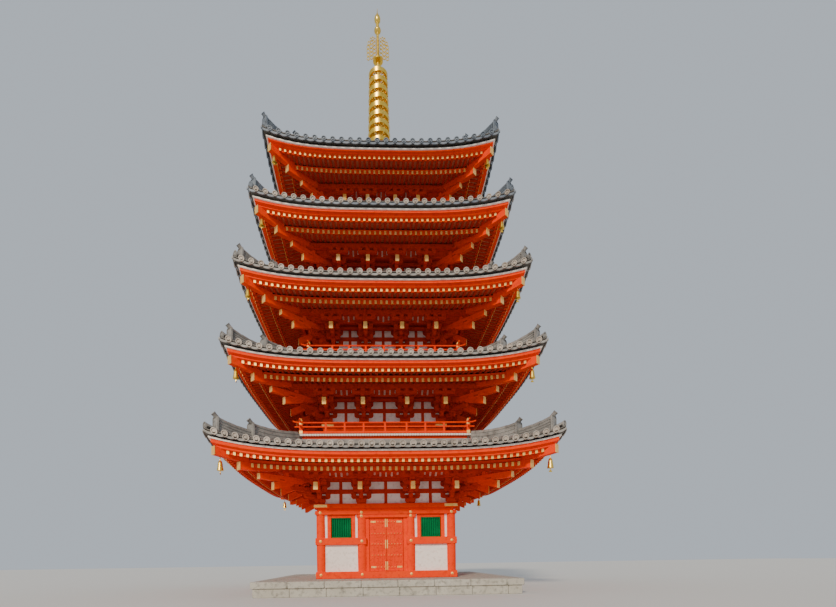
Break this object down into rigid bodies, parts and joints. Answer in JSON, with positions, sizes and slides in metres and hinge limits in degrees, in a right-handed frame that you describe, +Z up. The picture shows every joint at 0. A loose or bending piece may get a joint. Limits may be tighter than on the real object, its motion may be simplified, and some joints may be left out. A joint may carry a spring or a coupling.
{
  "type": "five-storey pagoda",
  "caption": "Timber pagoda of stacked square storeys with upturned tiled roofs, bracketed eaves, railed balconies and a ringed spire, on a stone platform, with opening front doors.",
  "frame": {"origin": "middle of the platform's underside, on the ground, under the spire", "axes": "+Z up along the spire; the front doors face -Y; +X to the right seen from the front"},
  "size_m": [11.901, 11.901, 26],
  "materials": {
    "painted_timber": "vermilion paint, satin",
    "plastered_wall": "white plaster between vermilion timbers",
    "window_bars": "green paint, satin",
    "door_boards": "vermilion paint with gilt fittings",
    "roof_tile": "smoked grey clay",
    "stone": "dressed granite",
    "gilt_bronze": "gilt"
  },
  "bodies": {
    "building": {"platform_base": "stone", "platform_slab": "stone", "ground_floor": "painted_timber", "corner_wall_front_left": "plastered_wall", "corner_wall_front_right": "plastered_wall", "corner_wall_back_right": "plastered_wall", "corner_wall_back_left": "plastered_wall", "window_front_1": "window_bars", "window_front_2": "window_bars", "window_right_1": "window_bars", "window_right_2": "window_bars", "window_back_1": "window_bars", "window_back_2": "window_bars", "window_left_1": "window_bars", "window_left_2": "window_bars", "ground_head_frame": "painted_timber", "closed_doors_right": "door_boards", "closed_doors_back": "door_boards", "closed_doors_left": "door_boards", "storey_1_brackets": "painted_timber", "storey_1_eave": "painted_timber", "storey_1_roof": "roof_tile", "storey_2_brackets": "painted_timber", "storey_2_eave": "painted_timber", "storey_2_roof": "roof_tile", "storey_2_balcony": "painted_timber", "storey_2_walls": "plastered_wall", "storey_3_brackets": "painted_timber", "storey_3_eave": "painted_timber", "storey_3_roof": "roof_tile", "storey_3_balcony": "painted_timber", "storey_3_walls": "plastered_wall", "storey_4_brackets": "painted_timber", "storey_4_eave": "painted_timber", "storey_4_roof": "roof_tile", "storey_4_balcony": "painted_timber", "storey_4_walls": "plastered_wall", "storey_5_brackets": "painted_timber", "storey_5_eave": "painted_timber", "storey_5_roof": "roof_tile", "storey_5_balcony": "painted_timber", "storey_5_walls": "plastered_wall", "spire_dew_basin": "gilt_bronze", "spire_bowl_and_lotus": "gilt_bronze", "spire_shaft_and_rings": "gilt_bronze", "spire_water_flame": "gilt_bronze", "spire_jewels": "gilt_bronze"},
    "door_left": {"front_door_left": "door_boards"},
    "door_right": {"front_door_right": "door_boards"}
  },
  "joints": [
    {"name": "front_door_left_hinge", "type": "hinge", "parent": "building", "child": "door_left", "pos_m": [-0.634, -2.562, 0.82], "axis": [0, 0, 1], "range_deg": [0, 90]},
    {"name": "front_door_right_hinge", "type": "hinge", "parent": "building", "child": "door_right", "pos_m": [0.634, -2.562, 0.82], "axis": [0, 0, -1], "range_deg": [0, 90]}
  ]
}
